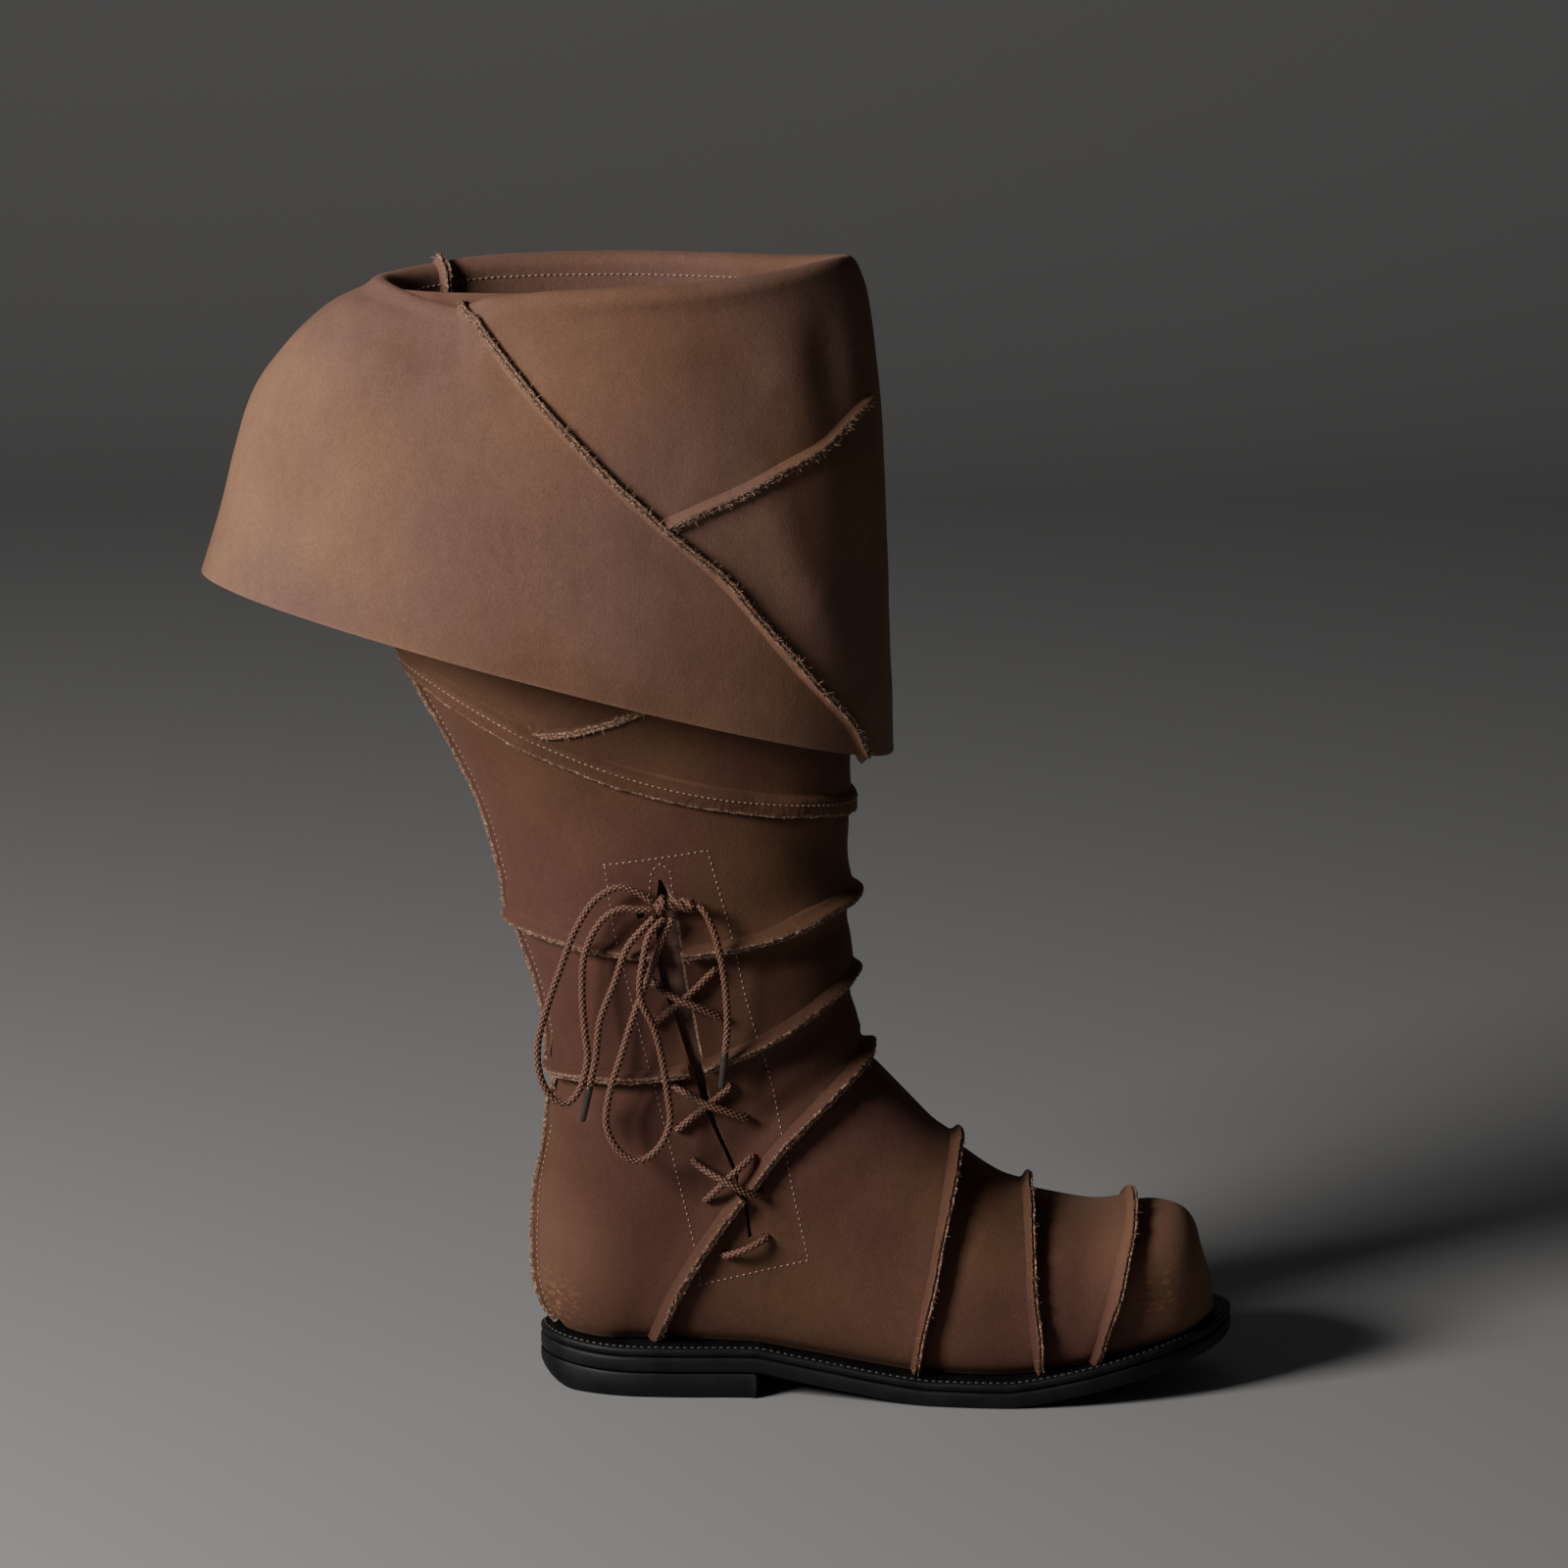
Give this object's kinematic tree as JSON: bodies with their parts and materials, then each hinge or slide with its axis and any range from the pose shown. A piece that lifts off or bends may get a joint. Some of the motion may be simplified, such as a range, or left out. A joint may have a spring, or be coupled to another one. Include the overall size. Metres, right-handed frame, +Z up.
{
  "type": "folded-cuff leather boot",
  "caption": "Calf-high leather boot for the right foot, with a wide folded-down cuff, raised raw-edge seams, side lacing with a bow, and a rubber sole with a low heel",
  "frame": {"origin": "on the floor under the middle of the heel, on the flat underside of the heel lift", "axes": "+X points to the toe, +Y to the inner (medial) side of the right foot, +Z up the shaft"},
  "size_m": [0.443, 0.1556, 0.4902],
  "materials": {
    "leather": "matt brown nubuck with soft lighter and purplish clouds and raw fibrous edges",
    "lining_leather": "rough unlined flesh side of brown leather",
    "rubber": "black satin sole rubber with worn edges",
    "lace": "round braided brown cord with light flecks",
    "lace_tip": "dark shrunk plastic lace tip"
  },
  "bodies": {
    "root": {"heel": "rubber", "outsole": "rubber", "midsole": "rubber", "insole": "lining_leather", "upper": "leather", "cuff": "leather", "tongue": "lining_leather", "lace_cross_upper": "lace", "lace_cross_middle": "lace", "lace_cross_lower": "lace", "lace_bar": "lace", "lace_knot": "lace", "lace_loop_a": "lace", "lace_loop_b": "lace", "lace_end_a": "lace", "lace_end_b": "lace", "aglet_a": "lace_tip", "aglet_b": "lace_tip"}
  },
  "joints": []
}
